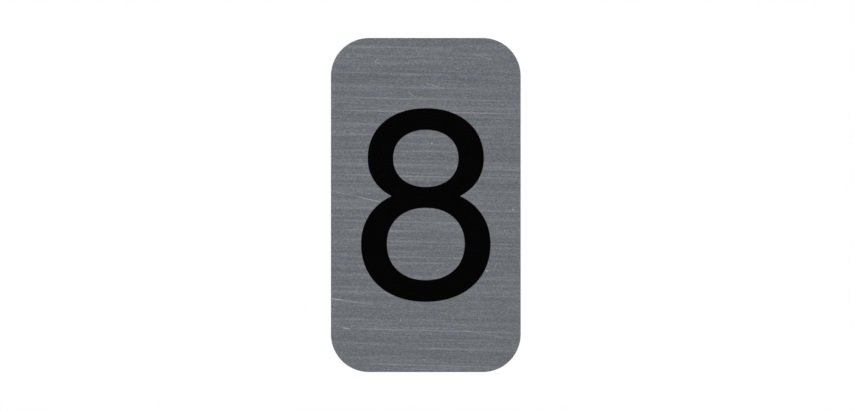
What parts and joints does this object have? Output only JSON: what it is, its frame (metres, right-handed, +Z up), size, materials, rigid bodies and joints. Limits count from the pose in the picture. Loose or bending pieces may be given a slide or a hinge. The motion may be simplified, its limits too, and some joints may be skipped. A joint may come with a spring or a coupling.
{
  "type": "adhesive number plaque",
  "caption": "Flat upright plaque of brushed metal with round corners and a printed black figure, stuck to a door or letterbox by the foam pad on its back.",
  "frame": {"origin": "middle of the release liner's outer face, which is the middle of the plaque's back", "axes": "+Z up along the plaque's height, +Y into the wall, so that the figure looks along -Y; +X to the viewer's right"},
  "size_m": [0.025, 0.0025, 0.044],
  "materials": {
    "brushed_plate": "satin",
    "black_ink": "matte",
    "foam": "matte",
    "liner_paper": "satin"
  },
  "bodies": {
    "root": {"plate": "brushed_plate", "number_8": "black_ink", "adhesive_pad": "foam", "release_liner": "liner_paper"}
  },
  "joints": []
}
